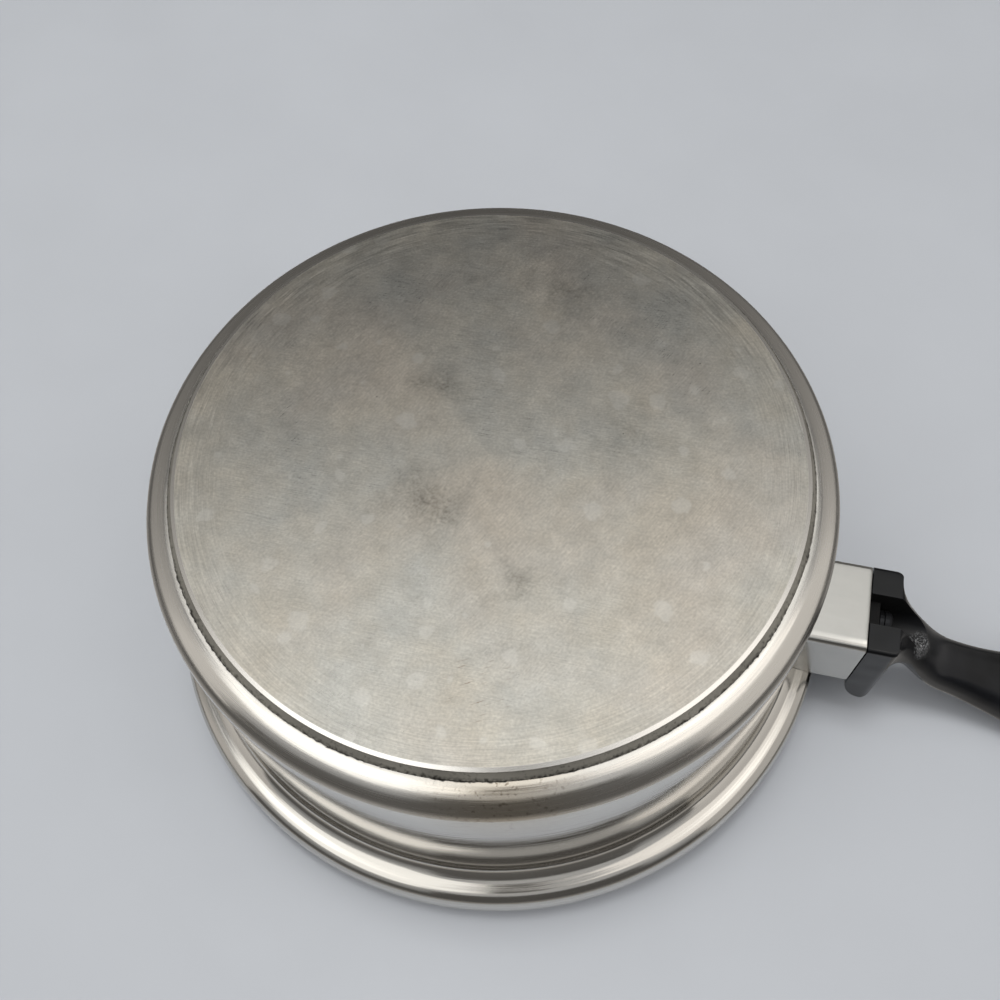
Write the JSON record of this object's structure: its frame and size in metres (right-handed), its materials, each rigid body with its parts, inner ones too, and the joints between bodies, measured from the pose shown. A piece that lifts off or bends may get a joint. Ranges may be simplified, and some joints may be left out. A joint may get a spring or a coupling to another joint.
{
  "type": "saucepan",
  "caption": "Stainless saucepan with a bonded heat-spreading base, a stepped lid ledge and a screwed-on phenolic handle, stored turned over on its rim.",
  "frame": {"origin": "centre of the base's flat outer face", "axes": "+Z points straight out of the base, along the pan's axis and away from its mouth, so the pan is stored turned over as pictured; +X points from the pan's axis along the handle; turn it half round about X to put it in the cooking position"},
  "size_m": [0.3879, 0.207, 0.1024],
  "materials": {
    "polished_steel": "polished stainless sheet with fine marks that run round the pan",
    "satin_steel": "worn satin stainless plate with scratches and water spots",
    "guard_steel": "satin stainless sheet",
    "bare_aluminium": "dull bare aluminium edge",
    "phenolic": "black moulded phenolic, worn semi-gloss",
    "blackened_steel": "blackened steel",
    "plated_steel": "zinc-plated steel"
  },
  "bodies": {
    "root": {"pan_body": "polished_steel", "base_core": "bare_aluminium", "base_cap": "satin_steel", "wall_bracket": "plated_steel", "flame_guard": "guard_steel", "handle": "phenolic", "handle_screw": "blackened_steel", "lock_washer": "blackened_steel", "bracket_nut": "plated_steel"}
  },
  "joints": []
}
